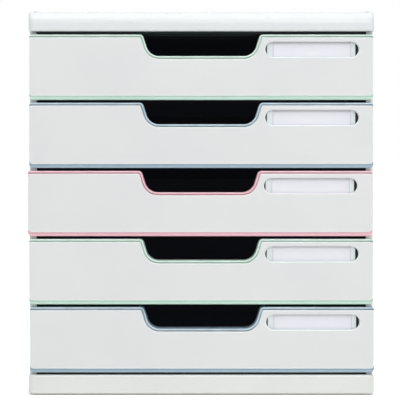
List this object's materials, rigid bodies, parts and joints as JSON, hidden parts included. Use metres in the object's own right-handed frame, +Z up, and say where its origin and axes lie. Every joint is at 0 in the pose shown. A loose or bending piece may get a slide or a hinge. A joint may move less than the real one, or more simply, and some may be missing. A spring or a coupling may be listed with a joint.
{
  "type": "drawer tower",
  "caption": "White desktop tower of shallow sliding drawers with dark trays, pastel edged fronts, scooped finger grips and slots for paper labels.",
  "frame": {"origin": "under the middle of the case, on the surface that its feet stand on", "axes": "+Z up, -Y out of the drawer fronts, +X to the right as seen from the front"},
  "size_m": [0.2884, 0.35, 0.32],
  "materials": {
    "case_white": "satin moulded",
    "face_white": "satin moulded",
    "lining_black": "matt moulded",
    "tray_black": "matt moulded",
    "frame_mint": "satin moulded",
    "frame_blue": "satin moulded",
    "frame_pink": "satin moulded",
    "carrier_white": "satin moulded",
    "label_paper": "uncoated paper",
    "foot_rubber": "matt"
  },
  "bodies": {
    "casing": {"top_cap": "case_white", "base_plinth": "case_white", "left_side_panel": "case_white", "right_side_panel": "case_white", "left_side_frame": "lining_black", "right_side_frame": "lining_black", "rear_panel": "lining_black", "ceiling_plate": "lining_black", "ceiling_lip": "lining_black", "floor_plate": "lining_black", "rubber_feet": "foot_rubber", "left_runner_1": "lining_black", "right_runner_1": "lining_black", "left_runner_2": "lining_black", "right_runner_2": "lining_black", "left_runner_3": "lining_black", "right_runner_3": "lining_black", "left_runner_4": "lining_black", "right_runner_4": "lining_black", "left_runner_5": "lining_black", "right_runner_5": "lining_black"},
    "drawer_1": {"drawer_1_tray": "tray_black", "drawer_1_frame": "frame_mint", "drawer_1_face": "face_white", "drawer_1_label_carrier": "carrier_white", "drawer_1_label": "label_paper"},
    "drawer_2": {"drawer_2_tray": "tray_black", "drawer_2_frame": "frame_blue", "drawer_2_face": "face_white", "drawer_2_label_carrier": "carrier_white", "drawer_2_label": "label_paper"},
    "drawer_3": {"drawer_3_tray": "tray_black", "drawer_3_frame": "frame_pink", "drawer_3_face": "face_white", "drawer_3_label_carrier": "carrier_white", "drawer_3_label": "label_paper"},
    "drawer_4": {"drawer_4_tray": "tray_black", "drawer_4_frame": "frame_mint", "drawer_4_face": "face_white", "drawer_4_label_carrier": "carrier_white", "drawer_4_label": "label_paper"},
    "drawer_5": {"drawer_5_tray": "tray_black", "drawer_5_frame": "frame_blue", "drawer_5_face": "face_white", "drawer_5_label_carrier": "carrier_white", "drawer_5_label": "label_paper"}
  },
  "joints": [
    {"name": "drawer_1_slide", "type": "slide", "parent": "casing", "child": "drawer_1", "axis": [0, -1, 0], "range_m": [0, 0.25]},
    {"name": "drawer_2_slide", "type": "slide", "parent": "casing", "child": "drawer_2", "axis": [0, -1, 0], "range_m": [0, 0.25]},
    {"name": "drawer_3_slide", "type": "slide", "parent": "casing", "child": "drawer_3", "axis": [0, -1, 0], "range_m": [0, 0.25]},
    {"name": "drawer_4_slide", "type": "slide", "parent": "casing", "child": "drawer_4", "axis": [0, -1, 0], "range_m": [0, 0.25]},
    {"name": "drawer_5_slide", "type": "slide", "parent": "casing", "child": "drawer_5", "axis": [0, -1, 0], "range_m": [0, 0.25]}
  ]
}
